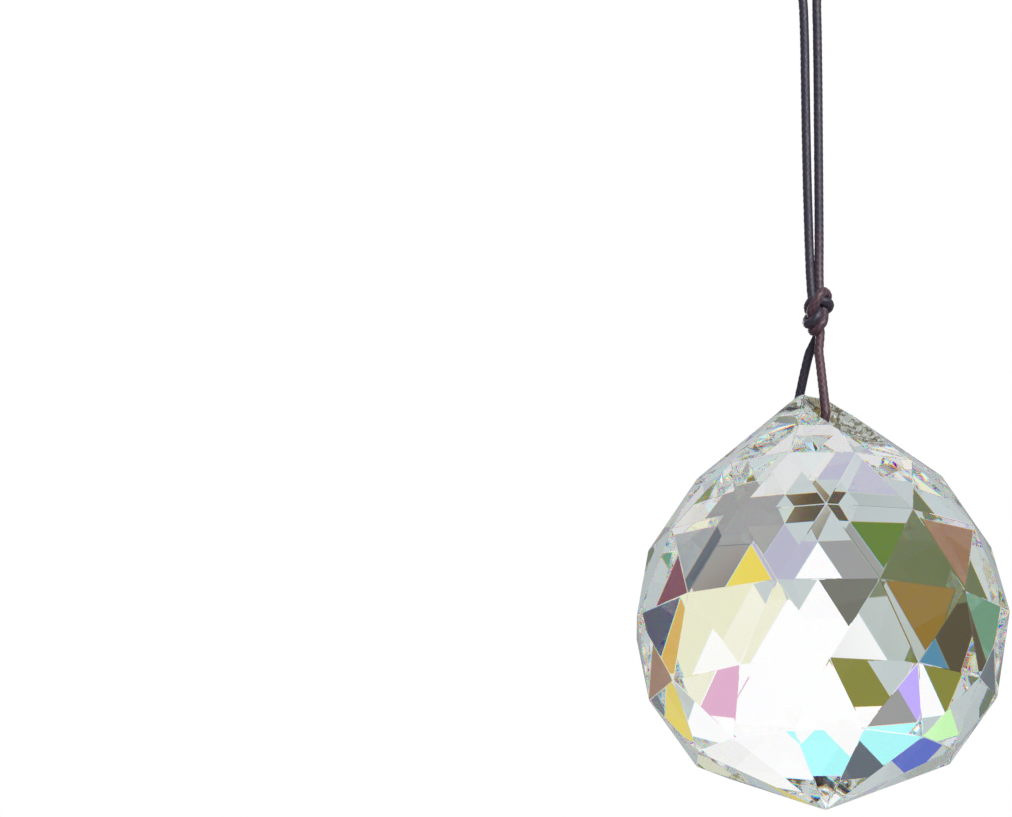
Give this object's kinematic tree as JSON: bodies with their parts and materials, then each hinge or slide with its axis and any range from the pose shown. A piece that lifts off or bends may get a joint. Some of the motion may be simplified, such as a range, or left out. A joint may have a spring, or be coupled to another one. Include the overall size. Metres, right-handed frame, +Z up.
{
  "type": "crystal suncatcher",
  "caption": "Clear faceted glass ball with a pointed top, hung from a thin brown cord threaded through its tip and closed by a knot.",
  "frame": {"origin": "top of the opening inside the cord's loop, where a hook or nail carries the part", "axes": "+Z up along the hanging line, -Y towards the front, with the drilled hole at 35 degrees from the front towards +X"},
  "size_m": [0.0482, 0.0482, 0.1259],
  "materials": {
    "crystal": "clear colourless cut crystal, polished flat facets with crisp edges, ground scoops beside the drilled tip",
    "cord": "thin round waxed cord, dark brown, finely braided, slight sheen"
  },
  "bodies": {
    "root": {"crystal_ball": "crystal", "cord_through_ball": "cord", "cord_knot": "cord", "cord_loop": "cord"}
  },
  "joints": []
}
